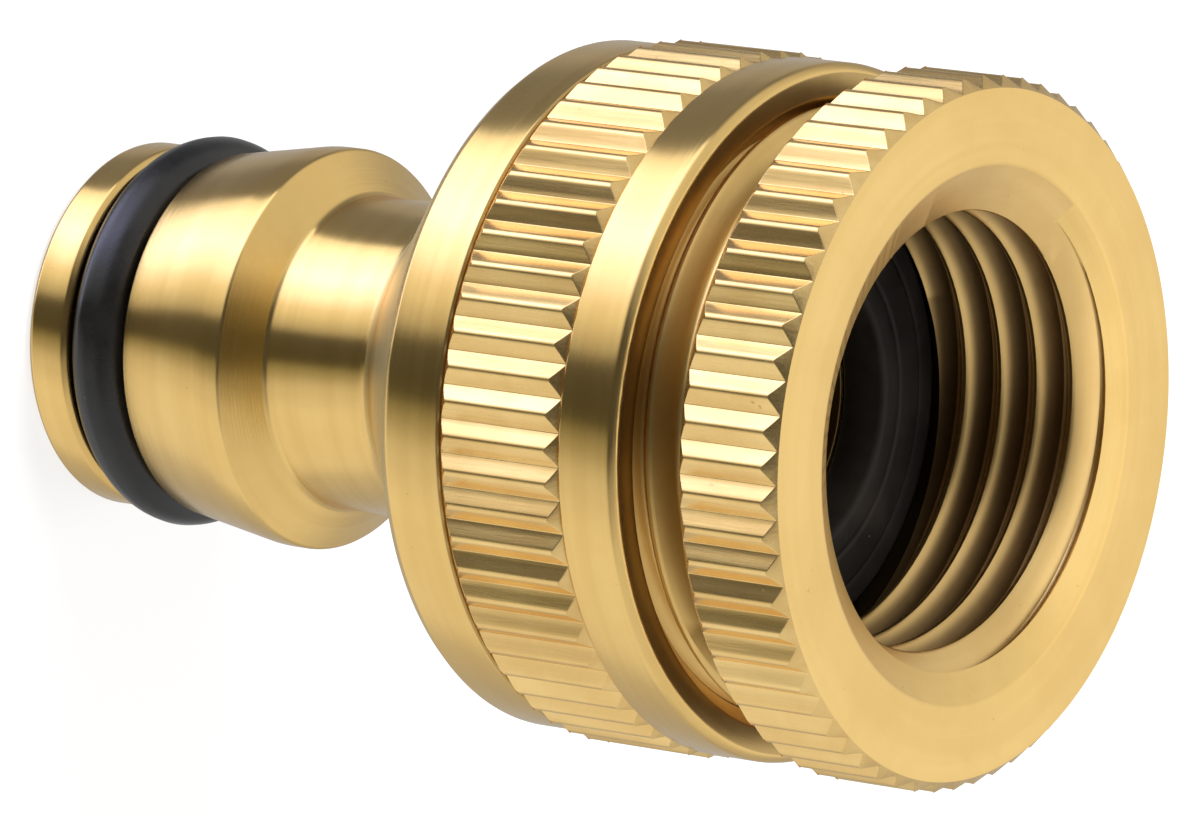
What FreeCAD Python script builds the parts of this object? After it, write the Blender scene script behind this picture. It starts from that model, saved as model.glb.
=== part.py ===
import FreeCAD, Part
import math
import os

# A two-in-one brass tap connector: a body with a plug-in nose, and a reducer screwed into its socket.
# The axis is Z, the nose tip stands on Z = 0 and the open threaded face looks up. Millimetres throughout.

# Rubber O-ring on the nose
ring_section_d = 2.65
ring_fit = 0.02
groove_play = 0.6

# Nose: lip, ring groove, tapered barrel, lock collar and neck, round a straight water passage
passage_r = 4.5
passage_bevel = 0.4
groove_wall = 1.4
groove_depth = 2.1
lip_len = 2.05
tip_bevel = 0.4
lip_bevel = 0.25
barrel_len = 4.85
lock_rise = 0.78
lock_land_len = 1.1
lock_cone_len = 1.2
neck_wall = 2.35
neck_len = 5.15
neck_round = 0.9
shoulder_slope = math.radians(48.0)

# Pipe threads, 14 to the inch: each bore stands at the thread's minor radius. The spigot's wall round
# the 1/2 inch inlet brings the socket to 12.06, the minor radius of the 3/4 inch thread.
# The open inlet thread has its true section, as parallel grooves instead of a helix.
inlet_thread_r = 9.316
thread_height = 1.16
thread_pitch = 25.4 / 14
thread_half_angle = math.radians(27.5)
thread_root_flat = 0.3
first_root_depth = 0.713
relief_clearance = 0.1
spigot_wall = 1.403
spigot_fit = 0.08

# Body behind the neck: flange, V knurl and plain band round the socket
grip_wall = 1.881
flange_step = 0.35
flange_len = 2.85
body_knurl_len = 6.2
band_step = 0.25
band_len = 2.9
rim_bevel = 0.15
socket_floor_rise = 0.45
socket_relief_len = 2.4
socket_mouth_bevel = 1.44

# Straight V knurls, on the body and on the reducer
knurl_depth = 0.5
knurl_count = 64
knurl_undercut = 0.05
knurl_bed = 0.3
reducer_knurl_turn = math.radians(3.64)

# Flat rubber washers on the floors of the two bores
body_washer_t = 2.0
body_washer_width = 4.5
reducer_washer_t = 2.2
reducer_washer_width = 3.8
washer_catch = 0.45

# Reducer: spigot with the male thread, knurled flange and the inlet bore
open_gap = 3.1
spigot_bevel = 0.9
reducer_flange_len = 4.9
reducer_passage_r = 5.8
inlet_depth = 11.0
inlet_relief_len = 2.5
inlet_mouth_step = 2.084
inlet_mouth_slope = math.radians(30.0)

# Radii that follow
groove_root_r = passage_r + groove_wall
nose_r = groove_root_r + groove_depth
lock_collar_r = nose_r + lock_rise
neck_r = passage_r + neck_wall
inlet_root_r = inlet_thread_r + thread_height
inlet_relief_r = inlet_root_r + relief_clearance
inlet_mouth_r = inlet_thread_r + inlet_mouth_step
thread_root_half = thread_root_flat / 2
thread_crest_half = thread_root_half + thread_height * math.tan(thread_half_angle)
spigot_r = inlet_relief_r + spigot_wall
socket_thread_r = spigot_r + spigot_fit
socket_relief_r = socket_thread_r + thread_height + relief_clearance
knurl_tip_r = socket_thread_r + thread_height + grip_wall
knurl_root_r = knurl_tip_r - knurl_depth
knurl_foot_r = knurl_root_r - knurl_undercut
knurl_bed_r = knurl_foot_r - knurl_bed
flange_r = knurl_tip_r - flange_step
band_r = knurl_tip_r - band_step

# Heights along the axis, from the nose tip to the open face
z_tip = 0.0
z_groove = z_tip + lip_len
z_barrel = z_groove + ring_section_d + groove_play
z_land = z_barrel + barrel_len
z_lock = z_land + lock_land_len
z_neck = z_lock + lock_cone_len
z_shoulder = z_neck + neck_len
z_flange = z_shoulder + (flange_r - neck_r) / math.tan(shoulder_slope)
z_body_knurl = z_flange + flange_len
z_band = z_body_knurl + body_knurl_len
z_body_end = z_band + band_len
z_socket_floor = z_flange + socket_floor_rise
z_spigot_end = z_socket_floor + body_washer_t
z_underside = z_body_end + open_gap
z_face = z_underside + reducer_flange_len
z_inlet_floor = z_face - inlet_depth

axis_origin = FreeCAD.Vector(0, 0, 0)
axis_up = FreeCAD.Vector(0, 0, 1)


def at(r, z):
    # a point of a half section
    return FreeCAD.Vector(r, 0, z)


def turned(section):
    # a closed half section turned about the axis; a corner with four numbers is reached by an arc
    # through its second pair
    edges = []
    last = section[-1]
    for corner in section:
        start = at(last[0], last[1])
        end = at(corner[0], corner[1])
        if len(corner) == 4:
            edges.append(Part.Arc(start, at(corner[2], corner[3]), end).toShape())
        else:
            edges.append(Part.LineSegment(start, end).toShape())
        last = corner
    return Part.Face(Part.Wire(edges)).revolve(axis_origin, axis_up, 360)


def neck_corner():
    # the round that runs the neck out into the shoulder cone: its start, and its end with a middle point
    reach = neck_round * math.tan(shoulder_slope / 2)
    z_start = z_shoulder - reach
    end_r = neck_r + reach * math.sin(shoulder_slope)
    end_z = z_shoulder + reach * math.cos(shoulder_slope)
    middle_r = neck_r + neck_round * (1 - math.cos(shoulder_slope / 2))
    middle_z = z_start + neck_round * math.sin(shoulder_slope / 2)
    return [(neck_r, z_start), (end_r, end_z, middle_r, middle_z)]


def knurled_ring(z_low, z_high, turn):
    # straight V ridges as a star prism, its ends cut off at 45 degrees by two cones
    corners = []
    for i in range(2 * knurl_count):
        r = knurl_root_r if i % 2 else knurl_tip_r
        angle = turn + i * math.pi / knurl_count
        corners.append(FreeCAD.Vector(r * math.cos(angle), r * math.sin(angle), z_low))
    star = Part.Face(Part.makePolygon(corners + corners[:1])).extrude(axis_up * (z_high - z_low))
    clear_r = knurl_tip_r + knurl_depth
    rise = clear_r - knurl_foot_r
    ring_r = knurl_bed_r - knurl_bed
    ring = turned([(ring_r, z_low), (knurl_foot_r, z_low), (clear_r, z_low + rise),
                   (clear_r, z_high - rise), (knurl_foot_r, z_high), (ring_r, z_high)])
    return star.common(ring)


def tap_connector_body():
    nose = [
        (passage_r + passage_bevel, z_tip),
        (nose_r - tip_bevel, z_tip),
        (nose_r, z_tip + tip_bevel),
        (nose_r, z_groove - lip_bevel),
        (nose_r - lip_bevel, z_groove),
        (groove_root_r, z_groove),
        (groove_root_r, z_barrel),
        (nose_r, z_barrel),
        (lock_collar_r, z_land),
        (lock_collar_r, z_lock),
        (neck_r, z_neck),
    ]
    grip = [
        (flange_r, z_flange),
        (flange_r, z_body_knurl),
        (knurl_bed_r, z_body_knurl),
        (knurl_bed_r, z_band),
        (band_r, z_band),
        (band_r, z_body_end - rim_bevel),
        (band_r - rim_bevel, z_body_end),
    ]
    socket = [
        (socket_thread_r + socket_mouth_bevel, z_body_end),
        (socket_thread_r, z_body_end - socket_mouth_bevel),
        (socket_thread_r, z_socket_floor + socket_relief_len),
        (socket_relief_r, z_socket_floor + socket_relief_len),
        (socket_relief_r, z_socket_floor),
        (passage_r + passage_bevel, z_socket_floor),
        (passage_r, z_socket_floor - passage_bevel),
        (passage_r, z_tip + passage_bevel),
    ]
    blank = turned(nose + neck_corner() + grip + socket)
    return blank.fuse(knurled_ring(z_body_knurl, z_band, 0.0)).removeSplitter()


def nose_o_ring():
    section_r = ring_section_d / 2
    ring_r = groove_root_r + ring_fit + section_r
    middle = FreeCAD.Vector(0, 0, (z_groove + z_barrel) / 2)
    return Part.makeTorus(ring_r, section_r, middle, axis_up)


def washer(outer_r, width, z_floor, thickness):
    z_top = z_floor + thickness
    return turned([(outer_r - width, z_floor), (outer_r, z_floor), (outer_r, z_top), (outer_r - width, z_top)])


def body_washer():
    # wider than the thread's crests, so it stays in when the reducer comes out
    return washer(socket_thread_r + washer_catch, body_washer_width, z_socket_floor, body_washer_t)


def reducer_washer():
    return washer(inlet_thread_r + washer_catch, reducer_washer_width, z_inlet_floor, reducer_washer_t)


def inlet_thread():
    # the countersunk mouth, then as many crests as there is room for, each from the root above it to
    # the root below
    z_mouth = z_face - (inlet_mouth_r - inlet_root_r) * math.tan(inlet_mouth_slope)
    z_root = z_face - first_root_depth
    threaded_len = z_root - (z_inlet_floor + inlet_relief_len)
    corners = [(inlet_mouth_r, z_face), (inlet_root_r, z_mouth)]
    for crest in range(int(threaded_len / thread_pitch)):
        z_next = z_root - thread_pitch
        corners.append((inlet_root_r, z_root - thread_root_half))
        corners.append((inlet_thread_r, z_root - thread_crest_half))
        corners.append((inlet_thread_r, z_next + thread_crest_half))
        corners.append((inlet_root_r, z_next + thread_root_half))
        z_root = z_next
    return corners


def reducer():
    spigot = [
        (reducer_passage_r + passage_bevel, z_spigot_end),
        (spigot_r - spigot_bevel, z_spigot_end),
        (spigot_r, z_spigot_end + spigot_bevel),
        (spigot_r, z_underside),
        (knurl_bed_r, z_underside),
        (knurl_bed_r, z_face),
    ]
    bore = [
        (inlet_root_r, z_inlet_floor + inlet_relief_len),
        (inlet_relief_r, z_inlet_floor + inlet_relief_len),
        (inlet_relief_r, z_inlet_floor),
        (reducer_passage_r, z_inlet_floor),
        (reducer_passage_r, z_spigot_end + passage_bevel),
    ]
    blank = turned(spigot + inlet_thread() + bore)
    return blank.fuse(knurled_ring(z_underside, z_face, reducer_knurl_turn)).removeSplitter()


pieces = {
    "tap_connector_body": tap_connector_body,
    "nose_o_ring": nose_o_ring,
    "body_washer": body_washer,
    "reducer": reducer,
    "reducer_washer": reducer_washer,
}

os.makedirs("parts", exist_ok=True)
for name, make in pieces.items():
    shape = make()
    shape.exportStep("parts/" + name + ".step")
    print(name, shape.ShapeType, len(shape.Solids), shape.isValid(), round(shape.Volume, 2))
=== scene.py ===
import math

import bpy
from mathutils import Matrix, Vector


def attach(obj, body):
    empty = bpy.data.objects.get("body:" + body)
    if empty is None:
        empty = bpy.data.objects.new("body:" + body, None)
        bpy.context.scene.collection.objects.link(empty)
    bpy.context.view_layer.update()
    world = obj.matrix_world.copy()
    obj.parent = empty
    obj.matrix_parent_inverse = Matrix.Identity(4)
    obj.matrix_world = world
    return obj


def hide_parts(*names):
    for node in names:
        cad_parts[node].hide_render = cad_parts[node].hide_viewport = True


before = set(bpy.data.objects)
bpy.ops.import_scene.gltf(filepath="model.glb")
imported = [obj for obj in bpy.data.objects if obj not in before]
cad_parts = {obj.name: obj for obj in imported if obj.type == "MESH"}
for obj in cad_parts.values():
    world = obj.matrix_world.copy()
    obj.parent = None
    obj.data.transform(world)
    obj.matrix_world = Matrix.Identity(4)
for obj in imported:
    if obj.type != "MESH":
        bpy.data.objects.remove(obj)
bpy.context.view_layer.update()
mm = 0.001  # Blender and the frame are in metres, the settings below are in millimetres
pitch = 25.4 / 14  # both pipe threads have 14 turns to the inch
cornerReach = 0.002  # a vertex this near to a corner of a section came from it
weldReach = 0.002  # vertices this near to each other are merged after a spin


def deselectAll():
    if bpy.context.mode != "OBJECT":
        bpy.ops.object.mode_set(mode="OBJECT")
    bpy.ops.object.select_all(action="DESELECT")


def makeActive(obj):
    deselectAll()
    obj.select_set(True)
    bpy.context.view_layer.objects.active = obj


def pickVerts(obj, test):
    # selects the vertices of a mesh whose place in millimetres passes the test, and nothing else
    bpy.ops.object.mode_set(mode="OBJECT")
    mesh = obj.data
    for face in mesh.polygons:
        face.select = False
    for edge in mesh.edges:
        edge.select = False
    for vert in mesh.vertices:
        vert.select = bool(test(vert.co.x / mm, vert.co.y / mm, vert.co.z / mm))
    bpy.ops.object.mode_set(mode="EDIT")
    bpy.ops.mesh.select_mode(type="VERT")


def pickCorners(obj, corners):
    pickVerts(obj, lambda x, y, z: any(abs(x - c[0]) + abs(z - c[1]) < cornerReach for c in corners))


def startProfile(name, corner):
    # one vertex in the XZ plane: a small plane merged to its middle
    deselectAll()
    bpy.ops.mesh.primitive_plane_add(size=mm, location=(0, 0, 0))
    obj = bpy.context.object
    obj.name = name
    obj.data.name = name
    bpy.ops.object.mode_set(mode="EDIT")
    bpy.ops.mesh.select_mode(type="VERT")
    bpy.ops.mesh.select_all(action="SELECT")
    bpy.ops.mesh.merge(type="CENTER")
    bpy.ops.transform.translate(value=(corner[0] * mm, 0, corner[1] * mm))
    return obj


def drawProfile(name, corners):
    # a closed section, drawn by extruding from corner to corner; a third number rounds that corner
    obj = startProfile(name, corners[0])
    last = corners[0]
    for corner in corners[1:]:
        step = ((corner[0] - last[0]) * mm, 0, (corner[1] - last[1]) * mm)
        bpy.ops.mesh.extrude_region_move(TRANSFORM_OT_translate={"value": step})
        last = corner
    pickCorners(obj, (corners[0], corners[-1]))
    bpy.ops.mesh.edge_face_add()
    for width in sorted({c[2] for c in corners if len(c) > 2}):
        pickCorners(obj, [c for c in corners if len(c) > 2 and c[2] == width])
        bpy.ops.mesh.bevel(offset=width * mm, segments=3, affect="VERTICES", clamp_overlap=True)
    return obj


def spinProfile(obj, steps):
    bpy.ops.object.mode_set(mode="EDIT")
    bpy.ops.mesh.select_all(action="SELECT")
    bpy.ops.mesh.spin(steps=steps, dupli=False, angle=2 * math.pi, center=(0, 0, 0), axis=(0, 0, 1))
    bpy.ops.mesh.select_all(action="SELECT")
    bpy.ops.mesh.remove_doubles(threshold=weldReach * mm)
    bpy.ops.mesh.select_all(action="SELECT")
    bpy.ops.mesh.normals_make_consistent(inside=False)
    bpy.ops.object.mode_set(mode="OBJECT")


def applyModifier(obj, modifier):
    makeActive(obj)
    bpy.ops.object.modifier_apply(modifier=modifier.name)


def smoothByAngle(obj, degrees=32):
    makeActive(obj)
    bpy.ops.object.shade_smooth_by_angle(angle=math.radians(degrees))


def feed(tree, socket, value):
    # a fixed value, or a link from another node
    if isinstance(value, (int, float, tuple)):
        socket.default_value = value
    else:
        tree.links.new(value, socket)


def mathNode(tree, operation, *values):
    node = tree.nodes.new("ShaderNodeMath")
    node.operation = operation
    for value, socket in zip(values, node.inputs):
        feed(tree, socket, value)
    return node.outputs[0]


def rangeNode(tree, value, low, high, outLow, outHigh):
    node = tree.nodes.new("ShaderNodeMapRange")
    node.interpolation_type = "SMOOTHSTEP"
    labels = ("Value", "From Min", "From Max", "To Min", "To Max")
    for label, setting in zip(labels, (value, low, high, outLow, outHigh)):
        feed(tree, node.inputs[label], setting)
    return node.outputs["Result"]


def mixColour(tree, factor, first, second):
    # sockets 6 and 7 are the mix node's two colours, and output 2 is the mixed one
    node = tree.nodes.new("ShaderNodeMix")
    node.data_type = "RGBA"
    for place, value in ((0, factor), (6, first), (7, second)):
        feed(tree, node.inputs[place], value)
    return node.outputs[2]


def noiseNode(tree, vector, scale, detail, roughness, w=None):
    node = tree.nodes.new("ShaderNodeTexNoise")
    node.noise_dimensions = "3D" if w is None else "4D"
    given = {"Vector": vector, "Scale": scale, "Detail": detail, "Roughness": roughness}
    if w is not None:
        given["W"] = w
    for label, value in given.items():
        feed(tree, node.inputs[label], value)
    return node.outputs["Fac"]


def objectPlace(tree):
    return tree.nodes.new("ShaderNodeTexCoord").outputs["Object"]


def splitVector(tree, vector):
    split = tree.nodes.new("ShaderNodeSeparateXYZ")
    tree.links.new(vector, split.inputs[0])
    return split.outputs


def joinVector(tree, parts):
    join = tree.nodes.new("ShaderNodeCombineXYZ")
    for value, socket in zip(parts, join.inputs):
        tree.links.new(value, socket)
    return join.outputs[0]


def axisRadius(tree, x, y):
    squares = [mathNode(tree, "MULTIPLY", value, value) for value in (x, y)]
    return mathNode(tree, "SQRT", mathNode(tree, "ADD", *squares))


def newMaterial(name):
    material = bpy.data.materials.new(name)
    material.use_nodes = True
    return material, material.node_tree, material.node_tree.nodes["Principled BSDF"]


def addBump(tree, shader, height, strength, depth):
    bump = tree.nodes.new("ShaderNodeBump")
    bump.inputs["Strength"].default_value = strength
    bump.inputs["Distance"].default_value = depth * mm
    tree.links.new(height, bump.inputs["Height"])
    tree.links.new(bump.outputs[0], shader.inputs["Normal"])


# shared effects are node groups, placed in each material with its own values
def newGroup(name, inputs, outputs):
    group = bpy.data.node_groups.new(name, "ShaderNodeTree")
    for label, value in inputs.items():
        socket = group.interface.new_socket(name=label, in_out="INPUT", socket_type="NodeSocketFloat")
        socket.default_value = value
    for label in outputs:
        group.interface.new_socket(name=label, in_out="OUTPUT", socket_type="NodeSocketFloat")
    given = group.nodes.new("NodeGroupInput").outputs
    result = group.nodes.new("NodeGroupOutput").inputs
    return group, given, result


def placeGroup(tree, group, values):
    node = tree.nodes.new("ShaderNodeGroup")
    node.node_tree = group
    for label, value in values.items():
        node.inputs[label].default_value = value
    return node.outputs


def buildTurningMarks():
    # marks that run round the axis: noise that is fine along the radius and height, and long round the turn
    inputs = {"Fineness": 9000.0, "Length": 260.0}
    group, given, result = newGroup("turningMarks", inputs, ("Height", "Broad"))
    x, y, z = splitVector(group, objectPlace(group))
    fine = [mathNode(group, "MULTIPLY", value, given["Fineness"]) for value in (axisRadius(group, x, y), z)]
    fine += [mathNode(group, "MULTIPLY", value, given["Length"]) for value in (x, y)]
    broadScale = 0.16
    broad = [mathNode(group, "MULTIPLY", value, broadScale) for value in fine]
    for label, parts, detail, roughness in (("Height", fine, 4.0, 0.65), ("Broad", broad, 2.0, 0.5)):
        noise = noiseNode(group, joinVector(group, parts[:3]), 1.0, detail, roughness, parts[3])
        group.links.new(noise, result[label])
    return group


def buildRollMarks():
    # streaks along the axis, where the knurling tool ran over the ridges
    inputs = {"Fineness": 3000.0, "Length": 0.07}
    group, given, result = newGroup("rollMarks", inputs, ("Height", "Broad"))
    x, y, z = splitVector(group, objectPlace(group))
    drawn = joinVector(group, (x, y, mathNode(group, "MULTIPLY", z, given["Length"])))
    broadScale = 0.30
    wide = mathNode(group, "MULTIPLY", given["Fineness"], broadScale)
    group.links.new(noiseNode(group, drawn, given["Fineness"], 3.0, 0.6), result["Height"])
    group.links.new(noiseNode(group, drawn, wide, 2.0, 0.5), result["Broad"])
    return group


def maskNoise(group, noise, low, high):
    return rangeNode(group, noise, low, high, 0.0, 1.0)


def buildTarnish():
    # slow patches of darker, redder metal and small dull specks
    inputs = {"Patch Size": 240.0, "Speck Size": 2600.0, "Speck Share": 0.66}
    group, given, result = newGroup("brassTarnish", inputs, ("Patches", "Specks"))
    place = objectPlace(group)
    patches = noiseNode(group, place, given["Patch Size"], 4.0, 0.6)
    specks = noiseNode(group, place, given["Speck Size"], 2.0, 0.5)
    speckEdge = 0.06
    speckTop = mathNode(group, "ADD", given["Speck Share"], speckEdge)
    group.links.new(maskNoise(group, patches, 0.35, 0.7), result["Patches"])
    group.links.new(maskNoise(group, specks, given["Speck Share"], speckTop), result["Specks"])
    return group


def buildThreadValleyShade():
    # painted shade between crests, growing toward the thread roots: none at the first radius, all at the
    # second, none above the top
    inputs = {"Bright Radius": 0.0094, "Dark Radius": 0.0100, "Top": 1.0}
    group, given, result = newGroup("threadValleyShade", inputs, ("Valley Shade",))
    place = objectPlace(group)
    x, y, z = splitVector(group, place)
    past = mathNode(group, "SUBTRACT", axisRadius(group, x, y), given["Bright Radius"])
    span = mathNode(group, "SUBTRACT", given["Dark Radius"], given["Bright Radius"])
    deep = maskNoise(group, mathNode(group, "DIVIDE", past, span), 0.0, 1.0)
    above = mathNode(group, "SUBTRACT", z, given["Top"])
    below = rangeNode(group, above, -0.2 * mm, 0.1 * mm, 1.0, 0.0)
    cloud = noiseNode(group, place, 700.0, 3.0, 0.6)
    uneven = rangeNode(group, cloud, 0.2, 0.7, 0.88, 1.0)
    share = mathNode(group, "MULTIPLY", deep, below)
    group.links.new(mathNode(group, "MULTIPLY", share, uneven), result["Valley Shade"])
    return group


turningMarks = buildTurningMarks()
rollMarks = buildRollMarks()
brassTarnish = buildTarnish()
threadValleyShade = buildThreadValleyShade()

# one brass recipe, with a finish for each zone of the turned metal, and painted shade in the recess and
# shaded zones and painted light on the shoulder;
# a higher "specks" gives fewer of them, and "patch" is the most of the worn colour that a patch gets
brassFinishes = {
    "turnedBrass": {
        "colour": (0.87, 0.595, 0.215, 1), "worn": (0.74, 0.47, 0.15, 1), "roughness": 0.19,
        "anisotropy": 0.70, "marks": 0.30, "fineness": 9000.0, "specks": 0.745, "patch": 0.30,
    },
    "knurlBrass": {
        "colour": (0.93, 0.66, 0.27, 1), "worn": (0.70, 0.43, 0.14, 1), "roughness": 0.27,
        "anisotropy": 0.0, "marks": 0.38, "fineness": 3200.0, "specks": 0.73, "patch": 0.40,
    },
    "facedBrass": {
        "colour": (0.88, 0.61, 0.225, 1), "worn": (0.76, 0.495, 0.16, 1), "roughness": 0.33,
        "anisotropy": 0.35, "marks": 0.42, "fineness": 7000.0, "specks": 0.745, "patch": 0.45,
    },
    # painted shade: a darker copy of the brass for the body's end face and the walls at both ends of the
    # knurl's bed
    "recessShadeBrass": {
        "colour": (0.62, 0.43, 0.165, 1), "worn": (0.42, 0.275, 0.095, 1), "roughness": 0.34,
        "anisotropy": 0.20, "marks": 0.20, "fineness": 7000.0, "specks": 0.73, "patch": 0.55,
    },
    "shadedBrass": {
        "colour": (0.26, 0.17, 0.06, 1), "worn": (0.15, 0.095, 0.035, 1), "roughness": 0.42,
        "anisotropy": 0.20, "marks": 0.20, "fineness": 7000.0, "specks": 0.73, "patch": 0.55,
    },
    # painted light: a paler, less orange copy of the brass for the shoulder, standing in for the bright
    # reflection there
    "shoulderLitBrass": {
        "colour": (0.72, 0.59, 0.29, 1), "worn": (0.60, 0.47, 0.20, 1), "roughness": 0.36,
        "anisotropy": 0.40, "marks": 0.26, "fineness": 5000.0, "specks": 0.745, "patch": 0.35,
    },
    "boreThreadBrass": {
        "colour": (0.84, 0.58, 0.235, 1), "worn": (0.66, 0.42, 0.14, 1), "roughness": 0.30,
        "anisotropy": 0.30, "marks": 0.14, "fineness": 6500.0, "specks": 0.74, "patch": 0.35,
        # painted shade in the valleys of the bore's thread, darkest at the roots
        "valleyShade": {"Bright Radius": 9.30, "Dark Radius": 9.85, "Top": 42.75},
    },
    "jointThreadBrass": {
        "colour": (0.86, 0.585, 0.21, 1), "worn": (0.66, 0.41, 0.13, 1), "roughness": 0.30,
        "anisotropy": 0.30, "marks": 0.16, "fineness": 6500.0, "specks": 0.74, "patch": 0.40,
    },
}
brassWear = {
    "streakRange": (0.38, 0.62), "streakShare": 0.34, "speckShare": 0.35, "markDepth": 0.02,
    # the speck colour, then the colour of the painted shade between thread crests
    "speckColour": (0.42, 0.27, 0.10, 1), "valleyShadeColour": (0.33, 0.215, 0.09, 1),
    "markRough": 0.10, "speckRough": 0.12, "valleyShadeRough": 0.15,  # what each adds to the roughness
}


def makeBrass(name):
    finish, wear = brassFinishes[name], brassWear
    material, tree, shader = newMaterial(name)
    shader.inputs["Metallic"].default_value = 1.0
    shader.inputs["Anisotropic"].default_value = finish["anisotropy"]
    # the marks run round, so the blur runs along
    shader.inputs["Anisotropic Rotation"].default_value = 0.25
    marksGroup = rollMarks if name == "knurlBrass" else turningMarks
    marks = placeGroup(tree, marksGroup, {"Fineness": finish["fineness"]})
    tarnish = placeGroup(tree, brassTarnish, {"Speck Share": finish["specks"]})
    patches = mathNode(tree, "MULTIPLY", tarnish["Patches"], finish["patch"])
    streaks = rangeNode(tree, marks["Broad"], *wear["streakRange"], wear["streakShare"], 0.0)
    specks = mathNode(tree, "MULTIPLY", tarnish["Specks"], wear["speckShare"])
    colour = mixColour(tree, patches, finish["colour"], finish["worn"])
    colour = mixColour(tree, streaks, colour, finish["worn"])
    colour = mixColour(tree, specks, colour, wear["speckColour"])
    rough = mathNode(tree, "MULTIPLY", marks["Height"], wear["markRough"])
    rough = mathNode(tree, "ADD", rough, finish["roughness"] - wear["markRough"] / 2)
    rough = mathNode(tree, "ADD", rough, mathNode(tree, "MULTIPLY", tarnish["Specks"], wear["speckRough"]))
    # painted shade in the thread valleys, which also makes them a little rougher
    if "valleyShade" in finish:
        limits = {label: value * mm for label, value in finish["valleyShade"].items()}
        valleyShade = placeGroup(tree, threadValleyShade, limits)["Valley Shade"]
        colour = mixColour(tree, valleyShade, colour, wear["valleyShadeColour"])
        rough = mathNode(tree, "ADD", rough, mathNode(tree, "MULTIPLY", valleyShade, wear["valleyShadeRough"]))
    tree.links.new(colour, shader.inputs["Base Color"])
    tree.links.new(rough, shader.inputs["Roughness"])
    tangent = tree.nodes.new("ShaderNodeTangent")
    tangent.direction_type = "RADIAL"
    tangent.axis = "Z"
    tree.links.new(tangent.outputs[0], shader.inputs["Tangent"])
    addBump(tree, shader, marks["Height"], finish["marks"], wear["markDepth"])
    return material


brass = {name: makeBrass(name) for name in brassFinishes}
print("brass finishes ready")

# the two knurls, and the lathe work that the body and the reducer share
knurlSettings = {
    "ridges": 64, "columns": 6, "tip": 15.10, "root": 14.60, "foot": 14.55,
    "crest": 0.20, "edge": 0.16,  # rounding of the crests, and its share along valleys and cut ends
}
knurlSector = 2 * math.pi / knurlSettings["ridges"]


def shapeKnurl(obj, low, high):
    # every ridge is six columns of the lathe wide: its crest and flank columns are drawn out to straight
    # flanks, and at both ends they stop on the 45 degree cut
    tip, root, foot, columns = (knurlSettings[key] for key in ("tip", "root", "foot", "columns"))
    near = 0.004  # a vertex this near to the rim of the knurl's bed is on it
    half = knurlSector / 2
    valleyX, valleyY = root * math.cos(half), root * math.sin(half)
    for column in range(columns // 2):
        place = column * knurlSector / columns
        slope = math.tan(place)
        share = tip * slope / (valleyY + (tip - valleyX) * slope)
        reach = math.hypot(share * valleyY, tip + share * (valleyX - tip))
        for level, way in ((low + root - foot, 1), (high - root + foot, -1)):
            def onColumn(x, y, z):
                if abs(z - level) > near or abs(math.hypot(x, y) - root) > near:
                    return False
                turn = abs((math.atan2(y, x) + half) % knurlSector - half)
                return abs(turn - place) < knurlSector / 40
            pickVerts(obj, onColumn)
            grow = reach / root
            bpy.ops.transform.resize(value=(grow, grow, 1), center_override=(0, 0, level * mm))
            bpy.ops.transform.translate(value=(0, 0, way * (reach - root) * mm))
    bpy.ops.object.mode_set(mode="OBJECT")


def softenKnurl(obj, low, high):
    # rounded crests, and a narrower round along valleys and cut ends
    columns = knurlSettings["columns"]
    margin = 0.02
    nearColumn = 0.2  # of a column's width
    ridgeLength = 2  # an edge longer than this along the axis runs along a ridge

    def inKnurl(x, y, z):
        return low + margin < z < high - margin and math.hypot(x, y) > knurlSettings["foot"] + margin
    pickVerts(obj, inKnurl)
    bpy.ops.object.mode_set(mode="OBJECT")
    weights = obj.data.attributes.new("bevel_weight_edge", "FLOAT", "EDGE")
    chosen = {v.index for v in obj.data.vertices if v.select}
    for edge in obj.data.edges:
        if edge.vertices[0] in chosen and edge.vertices[1] in chosen:
            a, b = (obj.data.vertices[i].co for i in edge.vertices)
            upright = abs(a.z - b.z) > ridgeLength * mm
            turn = (math.atan2(a.y, a.x) / knurlSector * columns) % columns
            onCrest = min(turn, columns - turn) < nearColumn
            inValley = abs(turn - columns / 2) < nearColumn
            if upright and onCrest:
                weights.data[edge.index].value = 1.0
            elif inValley or not upright:
                weights.data[edge.index].value = knurlSettings["edge"]
    bevel = obj.modifiers.new("knurl edges", "BEVEL")
    bevel.limit_method = "WEIGHT"
    bevel.width = knurlSettings["crest"] * mm
    bevel.segments = 3
    applyModifier(obj, bevel)
    deselectAll()


def turnAboutAxis(obj, degrees):
    obj.rotation_euler = (0, 0, math.radians(degrees))
    makeActive(obj)
    bpy.ops.object.transform_apply(location=False, rotation=True, scale=False)


# pipe threads: each groove is cut by a closed section swept up a right-hand helix
threadSettings = {"steps": 96, "flankDeg": 27.5, "clearance": 0.05, "weld": 0.0005}
# half widths of a groove from just past the crest down to the root, and the distances where they apply;
# apex: how far past the bore's root, or past the spigot's crest, the flanks would meet
boreGroove = {
    "past": 0.16, "pastHalf": 0.895, "crestHalf": 0.835, "crestSoft": 0.10,
    "rootSoft": 0.16, "rootRound": 0.05, "roundHalf": 0.17, "rootHalf": 0.06, "apex": 0.29,
}
spigotGroove = {
    "past": 0.16, "pastHalf": pitch / 2 - 0.012, "crestHalf": pitch / 2 - 0.07, "crestSoft": 0.09,
    "rootSoft": 0.12, "rootRound": 0.03, "roundHalf": 0.10, "rootHalf": 0.03, "apex": 0.41,
}


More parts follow.
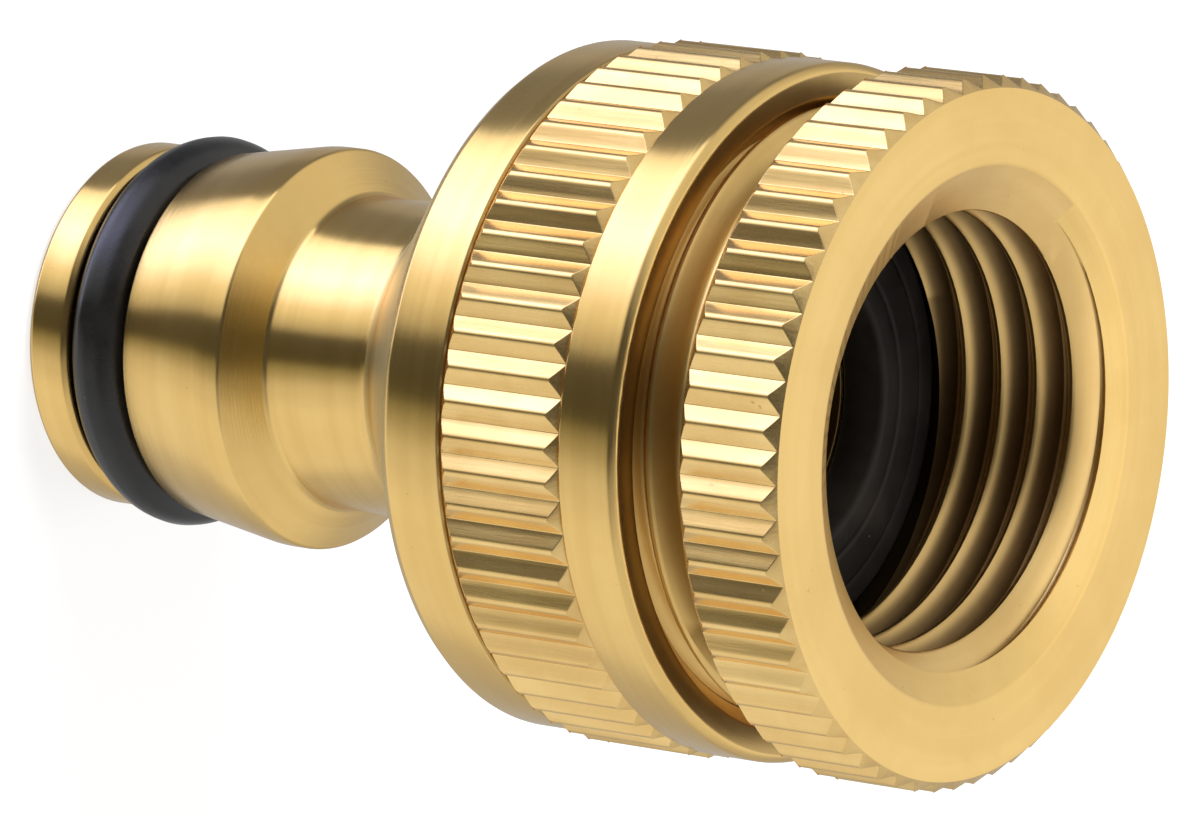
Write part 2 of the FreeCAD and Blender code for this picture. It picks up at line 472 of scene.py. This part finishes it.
def grooveSection(groove, crest, root):
    # a groove with flanks of 55 degrees together, a rounded root and soft crests; the spigot's is wider by
    # the clearance to the socket's thread
    flank = math.tan(math.radians(threadSettings["flankDeg"]))

    def halfAt(r):
        if root > crest:
            return (root + groove["apex"] - r) * flank
        return pitch / 2 - ((crest + groove["apex"] - r) * flank - threadSettings["clearance"])

    inward = 1 if root > crest else -1
    flankTop, flankEnd = crest + inward * groove["crestSoft"], root - inward * groove["rootSoft"]
    upper = [
        (crest - inward * groove["past"], groove["pastHalf"]), (crest, groove["crestHalf"]),
        (flankTop, halfAt(flankTop)), (flankEnd, halfAt(flankEnd)),
        (root - inward * groove["rootRound"], groove["roundHalf"]), (root, groove["rootHalf"]),
    ]
    return upper + [(r, -dz) for r, dz in reversed(upper)]


def threadTool(name, section, start, turns, turnDeg):
    tool = drawProfile(name, [(r, start + dz) for r, dz in section])
    bpy.ops.object.mode_set(mode="OBJECT")
    screw = tool.modifiers.new("helix", "SCREW")
    screw.axis = "Z"
    screw.angle = 2 * math.pi
    screw.screw_offset = pitch * mm
    screw.iterations = turns
    screw.steps = threadSettings["steps"]
    screw.render_steps = threadSettings["steps"]
    screw.use_merge_vertices = True
    screw.merge_threshold = 0.001 * mm
    applyModifier(tool, screw)
    bpy.ops.object.mode_set(mode="EDIT")
    bpy.ops.mesh.select_all(action="DESELECT")
    bpy.ops.mesh.select_mode(type="EDGE")
    bpy.ops.mesh.select_non_manifold(extend=False, use_boundary=True, use_wire=False, use_multi_face=False,
                                     use_non_contiguous=False, use_verts=False)
    bpy.ops.mesh.edge_face_add()
    bpy.ops.mesh.select_all(action="SELECT")
    bpy.ops.mesh.normals_make_consistent(inside=False)
    bpy.ops.object.mode_set(mode="OBJECT")
    turnAboutAxis(tool, turnDeg)
    return tool


def cutThread(obj, tool):
    # the tool is removed when its cut is made
    cut = obj.modifiers.new("thread", "BOOLEAN")
    cut.operation = "DIFFERENCE"
    cut.solver = "EXACT"
    cut.object = tool
    applyModifier(obj, cut)
    bpy.data.objects.remove(tool)
    bpy.ops.object.mode_set(mode="EDIT")
    bpy.ops.mesh.select_all(action="SELECT")
    bpy.ops.mesh.remove_doubles(threshold=threadSettings["weld"] * mm)
    bpy.ops.object.mode_set(mode="OBJECT")


def edgeCorners(r, z, steps):
    # a broken edge, corner by corner: distance in from the radius, distance along from the height, rounding
    return [(r - inward, z + along, *rounding) for inward, along, *rounding in steps]


def paintZones(obj, zones):
    # a material for each zone: the first zone that a face's middle passes, or else plain turned brass
    names = list(dict.fromkeys(["turnedBrass"] + [name for name, test in zones]))
    obj.data.materials.clear()
    for name in names:
        obj.data.materials.append(brass[name])
    for face in obj.data.polygons:
        r = math.hypot(face.center.x, face.center.y) / mm
        z = face.center.z / mm
        for name, test in zones:
            if test(r, z, face.normal):
                face.material_index = names.index(name)
                break


def seatPiece(obj, node, body):
    makeActive(obj)
    bpy.ops.object.transform_apply(location=True, rotation=True, scale=True)
    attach(obj, body)
    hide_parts(node)
    triangles = sum(len(f.vertices) - 2 for f in obj.data.polygons)
    print(obj.name, "triangles", triangles)


# body: nose, shoulder, knurl, band and threaded socket
bodySettings = {
    # heights from the nose tip
    "tip": 0.0, "groove": 2.28, "barrel": 5.44, "land": 10.15, "lock": 11.25, "neck": 12.45,
    "shoulder": 18.0, "flange": 24.713, "floor": 25.163, "knurl": 27.563, "band": 33.763, "end": 36.663,
    "reliefLen": 2.4,
    # radii, and the bevels where the bores open
    "noseR": 8.0, "rootR": 5.9, "lockR": 8.78, "neckR": 6.85, "flangeR": 14.75, "bandR": 14.85,
    "boreR": 12.059, "threadR": 13.22, "reliefR": 13.319, "passageR": 4.5,
    "passageBevel": 0.4, "mouthBevel": 1.44,
    # broken edges
    "tipEdge": [(0.4, 0, 0.12), (0, 0.4, 0.12)], "lipEdge": [(0, -0.25, 0.08), (0.25, 0, 0.08)],
    "flangeFront": [(0.30, -0.27), (0.18, -0.10, 0.08), (0, 0.16, 0.12)],
    "flangeBack": [(0, -0.08, 0.06), (0.10, -0.005)],
    "bandFront": [(0.10, 0.01), (0, 0.12, 0.05)], "bandBack": [(0, -0.34, 0.14), (0.34, 0, 0.14)],
    "steps": 384, "threadStart": 26.60, "threadTurns": 7, "threadDeg": 0,
}
rimR = 14.5  # the knurls, the flange and the band lie outside this radius


def buildBody():
    s = bodySettings
    foot, root = knurlSettings["foot"], knurlSettings["root"]
    rise = root - foot
    reliefTop = s["floor"] + s["reliefLen"]
    corners = [
        (s["passageR"] + s["passageBevel"], s["tip"], 0.06),
        *edgeCorners(s["noseR"], s["tip"], s["tipEdge"]),
        *edgeCorners(s["noseR"], s["groove"], s["lipEdge"]),
        (s["rootR"], s["groove"], 0.15), (s["rootR"], s["barrel"], 0.15),
        (s["noseR"], s["barrel"], 0.12), (s["lockR"], s["land"], 0.30), (s["lockR"], s["lock"], 0.14),
        (s["neckR"], s["neck"], 0.22), (s["neckR"], s["shoulder"], 0.60),
        *edgeCorners(s["flangeR"], s["flange"], s["flangeFront"]),
        *edgeCorners(s["flangeR"], s["knurl"], s["flangeBack"]), (foot, s["knurl"]),
        (root, s["knurl"] + rise), (root, s["band"] - rise), (foot, s["band"]),
        *edgeCorners(s["bandR"], s["band"], s["bandFront"]),
        *edgeCorners(s["bandR"], s["end"], s["bandBack"]),
        (s["boreR"] + s["mouthBevel"], s["end"], 0.06), (s["boreR"], s["end"] - s["mouthBevel"], 0.05),
        (s["boreR"], reliefTop, 0.05), (s["reliefR"], reliefTop, 0.10), (s["reliefR"], s["floor"], 0.10),
        (s["passageR"] + s["passageBevel"], s["floor"], 0.05),
        (s["passageR"], s["floor"] - s["passageBevel"], 0.05),
        (s["passageR"], s["tip"] + s["passageBevel"], 0.05),
    ]
    body = drawProfile("connectorBody", corners)
    spinProfile(body, s["steps"])
    shapeKnurl(body, s["knurl"], s["band"])
    softenKnurl(body, s["knurl"], s["band"])
    section = grooveSection(boreGroove, s["boreR"], s["threadR"])
    tool = threadTool("socketThreadTool", section, s["threadStart"], s["threadTurns"], s["threadDeg"])
    cutThread(body, tool)

    wall = 0.06  # a face this near to an end of the knurl's bed belongs to the wall there

    def frontWall(r, z, n):
        return abs(z - s["knurl"]) < wall and rimR < r < s["flangeR"] - 0.01 and n.z > 0.3

    def backWall(r, z, n):
        return abs(z - s["band"]) < wall and rimR < r < s["bandR"] - 0.05 and n.z < -0.3

    paintZones(body, [
        # painted shade on the walls of the knurl's bed and on the end face that the reducer covers
        ("recessShadeBrass", frontWall),
        ("recessShadeBrass", backWall),
        ("knurlBrass", lambda r, z, n: s["knurl"] < z < s["band"] and r > rimR),
        # the shoulder gets its painted light
        ("shoulderLitBrass", lambda r, z, n: s["neck"] + 4 < z < s["flange"] and s["neckR"] + 0.05 < r < rimR),
        ("shadedBrass", lambda r, z, n: r < s["passageR"] + 0.1 and z > 0.5),
        ("recessShadeBrass", lambda r, z, n: z > s["end"] - 0.02 and n.z > 0.7),
        ("jointThreadBrass", lambda r, z, n: z > s["floor"] - 0.1 and r < s["boreR"] + 1.45),
    ])
    smoothByAngle(body)
    seatPiece(body, "tap_connector_body", "connector")


buildBody()

# reducer: threaded spigot, knurled flange and open threaded bore
reducerSettings = {
    # heights, and lengths along the axis
    "end": 27.163, "floor": 33.663, "threadEnd": 37.95, "under": 39.763, "face": 44.663,
    "spigotTaper": 1.15, "runOut": 0.55, "mouthDepth": 1.203, "reliefLen": 2.5,
    # radii; the spigot is undercut behind its thread
    "taperR": 11.95, "crestR": 13.10, "rootR": 11.979, "undercut": 0.05, "boreR": 9.316, "majorR": 10.478,
    "reliefR": 10.576, "mouthR": 11.40, "passageR": 5.8, "passageBevel": 0.4,
    # threads: the bore's first root lies this far below the face, and its groove starts some pitches lower
    "firstRoot": 0.866, "boreThreadDown": 5, "boreThreadTurns": 6, "boreThreadDeg": 60,
    # the spigot's groove lies half a pitch from the socket's
    "spigotThreadStart": bodySettings["threadStart"] - pitch / 2, "spigotThreadTurns": 7,
    "spigotThreadDeg": 0, "steps": 384, "turnDeg": 3.64,
}


def buildReducer():
    s = reducerSettings
    foot, root = knurlSettings["foot"], knurlSettings["root"]
    rise = root - foot
    neckR = s["rootR"] - s["undercut"]
    reliefTop = s["floor"] + s["reliefLen"]
    corners = [
        (s["passageR"] + s["passageBevel"], s["end"], 0.05), (s["taperR"], s["end"], 0.08),
        (s["crestR"], s["end"] + s["spigotTaper"], 0.05), (s["crestR"], s["threadEnd"] - s["runOut"], 0.05),
        (neckR, s["threadEnd"] + s["runOut"], 0.12), (neckR, s["under"], 0.25), (foot, s["under"]),
        (root, s["under"] + rise), (root, s["face"] - rise), (foot, s["face"]),
        (s["mouthR"], s["face"], 0.10), (s["boreR"], s["face"] - s["mouthDepth"], 0.06),
        (s["boreR"], reliefTop, 0.05), (s["reliefR"], reliefTop, 0.10), (s["reliefR"], s["floor"], 0.10),
        (s["passageR"], s["floor"], 0.05), (s["passageR"], s["end"] + s["passageBevel"], 0.05),
    ]
    reducer = drawProfile("threadReducer", corners)
    spinProfile(reducer, s["steps"])
    shapeKnurl(reducer, s["under"], s["face"])
    softenKnurl(reducer, s["under"], s["face"])
    turnAboutAxis(reducer, s["turnDeg"])
    section = grooveSection(boreGroove, s["boreR"], s["majorR"])
    start = s["face"] - s["firstRoot"] - s["boreThreadDown"] * pitch
    tool = threadTool("boreThreadTool", section, start, s["boreThreadTurns"], s["boreThreadDeg"])
    cutThread(reducer, tool)
    section = grooveSection(spigotGroove, s["crestR"], s["rootR"])
    tool = threadTool("spigotThreadTool", section, s["spigotThreadStart"], s["spigotThreadTurns"],
                      s["spigotThreadDeg"])
    cutThread(reducer, tool)
    paintZones(reducer, [
        ("facedBrass", lambda r, z, n: z > s["face"] - 0.12 and n.z > 0.8),
        ("facedBrass", lambda r, z, n: z > s["face"] - 0.6 and r < s["mouthR"] + 0.1),
        ("knurlBrass", lambda r, z, n: z > s["under"] and r > rimR),
        ("boreThreadBrass", lambda r, z, n: r < s["mouthR"] - 0.1 and s["floor"] + 0.01 < z),
        ("shadedBrass", lambda r, z, n: r < s["passageR"] + 0.3 and z < s["floor"]),
        ("shadedBrass", lambda r, z, n: s["under"] - 0.9 < z < s["under"] + 0.01 and r < rimR),
        ("jointThreadBrass", lambda r, z, n: z < s["threadEnd"] + 0.6 and r > 9),
    ])
    smoothByAngle(reducer)
    seatPiece(reducer, "reducer", "reducer_turn")


buildReducer()

# black rubber: the O-ring on the nose and the two flat washers
rubberFinishes = {
    "ringRubber": {
        "colour": (0.0055, 0.005, 0.0045, 1), "bloom": (0.013, 0.012, 0.011, 1), "roughness": 0.20,
        "specular": 0.44, "grain": 5200.0, "dust": 0.80,
    },
    "washerRubber": {
        "colour": (0.008, 0.0065, 0.0055, 1), "bloom": (0.022, 0.017, 0.013, 1), "roughness": 0.50,
        "specular": 0.25, "grain": 4200.0, "dust": 0.80,
    },
}
rubberWear = {
    "bloomShare": 0.6, "bloomRough": 0.15, "dustShare": 0.7, "dustColour": (0.14, 0.115, 0.085, 1),
    "grainStrength": 0.35, "grainDepth": 0.02,
}


def buildDust():
    # a soft pale bloom, dust specks and the grain of the mould
    group, given, result = newGroup("rubberDust", {"Grain": 5000.0, "Share": 0.65},
                                    ("Bloom", "Specks", "Grain Height"))
    place = objectPlace(group)
    bloom = noiseNode(group, place, 320.0, 4.0, 0.6)
    grain = noiseNode(group, place, given["Grain"], 3.0, 0.6)
    speckScale = 0.7
    specks = noiseNode(group, place, mathNode(group, "MULTIPLY", given["Grain"], speckScale), 1.0, 0.5)
    speckEdge = 0.05
    speckTop = mathNode(group, "ADD", given["Share"], speckEdge)
    group.links.new(maskNoise(group, bloom, 0.35, 0.72), result["Bloom"])
    group.links.new(maskNoise(group, specks, given["Share"], speckTop), result["Specks"])
    group.links.new(grain, result["Grain Height"])
    return group


rubberDust = buildDust()


def makeRubber(name):
    finish, wear = rubberFinishes[name], rubberWear
    material, tree, shader = newMaterial(name)
    shader.inputs["Specular IOR Level"].default_value = finish["specular"]
    dust = placeGroup(tree, rubberDust, {"Grain": finish["grain"], "Share": finish["dust"]})
    bloom = mathNode(tree, "MULTIPLY", dust["Bloom"], wear["bloomShare"])
    specks = mathNode(tree, "MULTIPLY", dust["Specks"], wear["dustShare"])
    colour = mixColour(tree, bloom, finish["colour"], finish["bloom"])
    colour = mixColour(tree, specks, colour, wear["dustColour"])
    duller = mathNode(tree, "MULTIPLY", dust["Bloom"], wear["bloomRough"])
    rough = mathNode(tree, "ADD", finish["roughness"], duller)
    tree.links.new(colour, shader.inputs["Base Color"])
    tree.links.new(rough, shader.inputs["Roughness"])
    addBump(tree, shader, dust["Grain Height"], wear["grainStrength"], wear["grainDepth"])
    return material


rubber = {name: makeRubber(name) for name in rubberFinishes}

# seat and seatGrow: the strip inside that lies on the groove, and how much it is widened along the axis
ringSettings = {
    "centreR": 7.245, "section": 1.325, "height": 3.81, "seat": 0.10, "seatGrow": 1.12, "mouldLine": 0.018,
    "around": 192, "across": 64,
}


def buildRing():
    s = ringSettings
    level = s["height"]
    deselectAll()
    bpy.ops.mesh.primitive_torus_add(major_radius=s["centreR"] * mm, minor_radius=s["section"] * mm,
                                     major_segments=s["around"], minor_segments=s["across"],
                                     location=(0, 0, level * mm))
    ring = bpy.context.object
    ring.name = "noseRing"
    ring.data.name = "noseRing"
    bpy.ops.object.transform_apply(location=True)
    # the mould's parting line, a thin bead round the outside
    pickVerts(ring, lambda x, y, z: abs(z - level) < 0.01 and math.hypot(x, y) > s["centreR"])
    grow = 1 + s["mouldLine"] / (s["centreR"] + s["section"])
    bpy.ops.transform.resize(value=(grow, grow, 1))
    # the inside lies flat on the groove
    inner = s["centreR"] - s["section"]
    pickVerts(ring, lambda x, y, z: math.hypot(x, y) < inner + s["seat"])
    bpy.ops.transform.resize(value=(1, 1, s["seatGrow"]), center_override=(0, 0, level * mm))
    bpy.ops.object.mode_set(mode="OBJECT")
    ring.data.materials.append(rubber["ringRubber"])
    smoothByAngle(ring, 50)
    seatPiece(ring, "nose_o_ring", "connector")


washerSettings = {
    "bodyWasher": {
        "inner": 8.009, "outer": 12.509, "low": 25.163, "high": 27.163, "round": 0.22, "steps": 192,
        "node": "body_washer", "rides": "connector",
    },
    "reducerWasher": {
        "inner": 5.966, "outer": 9.766, "low": 33.663, "high": 35.863, "round": 0.30, "steps": 192,
        "node": "reducer_washer", "rides": "reducer_lift",
    },
}
# the moulded top, from outside in: distance from the middle of the width, depth below the top, rounding
washerGroove = [(0.90, 0.02, 0.12), (0.75, 0.09, 0.05), (0.60, 0.0, 0.05)]
washerDrop = 0.04  # the rims lie this much lower than the middle


def buildWasher(name):
    s = washerSettings[name]
    edge = s["round"]
    middle = (s["inner"] + s["outer"]) / 2
    rim = s["high"] - washerDrop
    outside = [(middle + away, s["high"] - depth, rounding) for away, depth, rounding in washerGroove]
    inside = [(middle - away, s["high"] - depth, rounding) for away, depth, rounding in washerGroove]
    washer = drawProfile(name, [
        (s["inner"], s["low"], edge * 0.5), (s["outer"], s["low"], edge * 0.5), (s["outer"], rim, edge),
        *outside, *reversed(inside), (s["inner"], rim, edge),
    ])
    spinProfile(washer, s["steps"])
    washer.data.materials.append(rubber["washerRubber"])
    smoothByAngle(washer, 50)
    seatPiece(washer, s["node"], s["rides"])


buildRing()
for name in washerSettings:
    buildWasher(name)
print("rubber pieces ready")


# floor, light and camera
stageSettings = {
    "floorSize": 3.0, "floorColour": (0.88, 0.88, 0.87, 1), "floorRough": 0.9, "shadowShare": 0.30,
    "diffuseWorld": 0.55, "lookWorld": 1.0,
}


def buildFloor():
    # lit by the lamps for its shadow, and glowing plain white for the rest
    s = stageSettings
    deselectAll()
    bpy.ops.mesh.primitive_plane_add(size=s["floorSize"], location=(0, 0, 0))
    floor = bpy.context.object
    floor.name = "paleFloor"
    material, tree, shader = newMaterial("paleFloor")
    shader.inputs["Base Color"].default_value = s["floorColour"]
    shader.inputs["Roughness"].default_value = s["floorRough"]
    glow = tree.nodes.new("ShaderNodeEmission")
    ray = tree.nodes.new("ShaderNodeLightPath").outputs
    mirrored = mathNode(tree, "MAXIMUM", ray["Is Glossy Ray"], ray["Is Transmission Ray"])
    seen = mathNode(tree, "MAXIMUM", ray["Is Camera Ray"], mirrored)
    mix = tree.nodes.new("ShaderNodeMixShader")
    tree.links.new(mathNode(tree, "MULTIPLY", seen, 1 - s["shadowShare"]), mix.inputs[0])
    tree.links.new(shader.outputs[0], mix.inputs[1])
    tree.links.new(glow.outputs[0], mix.inputs[2])
    tree.links.new(mix.outputs[0], tree.nodes["Material Output"].inputs["Surface"])
    floor.data.materials.append(material)
    floor.visible_glossy = False  # the metal mirrors the light tent below instead


# what the metal mirrors, by compass angle from -X through -Y and +X: soft boxes, flags and the dark room
# behind the camera, seen low down and high up, each stop with its brightness and tint; the box at -X leans
tentSettings = {
    "tints": {
        "plain": (1.0, 1.0, 1.0), "cool": (0.96, 1.0, 1.15), "warm": (1.0, 0.98, 0.74),
        "box": (0.98, 1.0, 1.42),
    },
    "peak": 3.0,
    "low": [
        (0.000, 0.22, "cool"), (0.014, 0.22, "cool"), (0.023, 1.50, "cool"), (0.070, 2.10, "box"),
        (0.115, 2.70, "box"), (0.150, 1.80, "box"), (0.185, 1.05, "plain"), (0.219, 0.62, "plain"),
        (0.231, 0.10, "plain"), (0.284, 0.08, "warm"), (0.297, 0.34, "warm"), (0.340, 0.76, "plain"),
        (0.390, 0.92, "plain"), (0.500, 0.90, "plain"), (0.560, 0.60, "plain"), (0.620, 0.50, "plain"),
        (0.740, 0.50, "plain"), (0.870, 0.40, "plain"), (0.925, 0.24, "cool"), (1.000, 0.22, "cool"),
    ],
    "high": [
        (0.000, 0.75, "plain"), (0.090, 0.80, "plain"), (0.150, 0.35, "plain"), (0.190, 0.08, "plain"),
        (0.310, 0.08, "plain"), (0.350, 0.40, "plain"), (0.420, 0.75, "plain"), (0.550, 0.80, "plain"),
        (0.680, 0.92, "plain"), (0.745, 1.00, "plain"), (0.840, 0.85, "plain"), (1.000, 0.75, "plain"),
    ],
    "horizon": (-0.10, 0.45),  # from the low stops to the high ones
    "leanFrom": -0.60, "lean": -0.43,  # below this height the box at -X leans, by this share
    "zenith": 1.25, "zenithRange": (0.82, 0.92), "zenithTilt": 0.25,  # bright overhead, tilted toward +Y
}


def tentRamp(tree, factor, stops):
    # the stops are stored as shares of the peak, and the result is scaled back
    peak, tints = tentSettings["peak"], tentSettings["tints"]
    ramp = tree.nodes.new("ShaderNodeValToRGB")
    ramp.color_ramp.interpolation = "EASE"
    elements = ramp.color_ramp.elements
    while len(elements) < len(stops):
        elements.new(0.5)
    for element, (place, value, tint) in zip(elements, stops):
        element.position = place
        element.color = [value * channel / peak for channel in tints[tint]] + [1]
    tree.links.new(factor, ramp.inputs[0])
    lift = tree.nodes.new("ShaderNodeVectorMath")
    lift.operation = "SCALE"
    tree.links.new(ramp.outputs["Color"], lift.inputs[0])
    lift.inputs["Scale"].default_value = peak
    return lift.outputs[0]


def grey(value):
    return (value, value, value, 1)


def buildWorld():
    # reflections show the tent, and the camera and soft light see a plain pale room
    s = tentSettings
    world = bpy.data.worlds.new("lightTent")
    bpy.context.scene.world = world
    world.use_nodes = True
    world.cycles.sampling_method = "NONE"
    tree = world.node_tree
    back = tree.nodes["Background"]
    x, y, z = splitVector(tree, tree.nodes.new("ShaderNodeTexCoord").outputs["Generated"])
    turn = mathNode(tree, "ARCTAN2", y, x)
    compass = mathNode(tree, "ADD", mathNode(tree, "DIVIDE", turn, 2 * math.pi), 0.5)
    steep = mathNode(tree, "MAXIMUM", mathNode(tree, "SUBTRACT", s["leanFrom"], z), 0.0)
    toBox = mathNode(tree, "MAXIMUM", mathNode(tree, "MULTIPLY", x, s["lean"]), 0.0)
    lean = mathNode(tree, "MULTIPLY", steep, toBox)
    compass = mathNode(tree, "FRACT", mathNode(tree, "ADD", compass, lean))
    low = tentRamp(tree, compass, s["low"])
    high = tentRamp(tree, compass, s["high"])
    around = mixColour(tree, rangeNode(tree, z, *s["horizon"], 0.0, 1.0), low, high)
    above = mathNode(tree, "ADD", z, mathNode(tree, "MULTIPLY", y, s["zenithTilt"]))
    overhead = rangeNode(tree, above, *s["zenithRange"], 0.0, 1.0)
    tent = mixColour(tree, overhead, around, grey(s["zenith"]))
    ray = tree.nodes.new("ShaderNodeLightPath").outputs
    plain, look = grey(stageSettings["diffuseWorld"]), grey(stageSettings["lookWorld"])
    room = mixColour(tree, ray["Is Camera Ray"], plain, look)
    tree.links.new(mixColour(tree, ray["Is Glossy Ray"], room, tent), back.inputs["Color"])
    back.inputs["Strength"].default_value = 1.0


lampAim = (0, 0, 0.022)  # the middle of the connector, in metres like the lamps
lampSettings = [
    {"name": "keyBox", "place": (-0.42, -0.10, 0.46), "size": 0.35, "power": 4.6},
    {"name": "fillBox", "place": (0.40, -0.30, 0.40), "size": 0.45, "power": 2.4},
    {"name": "backBox", "place": (0.05, 0.50, 0.42), "size": 0.45, "power": 2.2},
]


def buildLamps():
    for s in lampSettings:
        deselectAll()
        bpy.ops.object.light_add(type="AREA", location=s["place"])
        lamp = bpy.context.object
        lamp.name = s["name"]
        lamp.data.shape = "DISK"
        lamp.data.size = s["size"]
        lamp.data.energy = s["power"]
        aim = Vector(lampAim) - Vector(s["place"])
        lamp.rotation_euler = aim.to_track_quat("-Z", "Y").to_euler()
        lamp.visible_glossy = False


# the place is in millimetres; right and up are the picture's own axes
cameraSettings = {
    "place": (-2.3974, -361.4688, 281.2524), "right": (-0.13059, 0.57369, 0.80860),
    "up": (-0.99141, -0.06914, -0.11106), "lens": 311.108, "sensor": 36, "near": 0.01, "far": 20,
}


def buildCamera():
    s = cameraSettings
    deselectAll()
    bpy.ops.object.camera_add(location=[v * mm for v in s["place"]])
    camera = bpy.context.object
    camera.name = "photoCamera"
    right, up = Vector(s["right"]).normalized(), Vector(s["up"]).normalized()
    turn = Matrix((right, up, right.cross(up))).transposed()
    camera.rotation_euler = turn.to_euler()
    camera.data.sensor_width = s["sensor"]
    camera.data.lens = s["lens"]
    camera.data.clip_start = s["near"]
    camera.data.clip_end = s["far"]
    bpy.context.scene.camera = camera


buildFloor()
buildWorld()
buildLamps()
buildCamera()
bpy.context.scene.view_settings.view_transform = "Standard"
print("stage ready")

deselectAll()
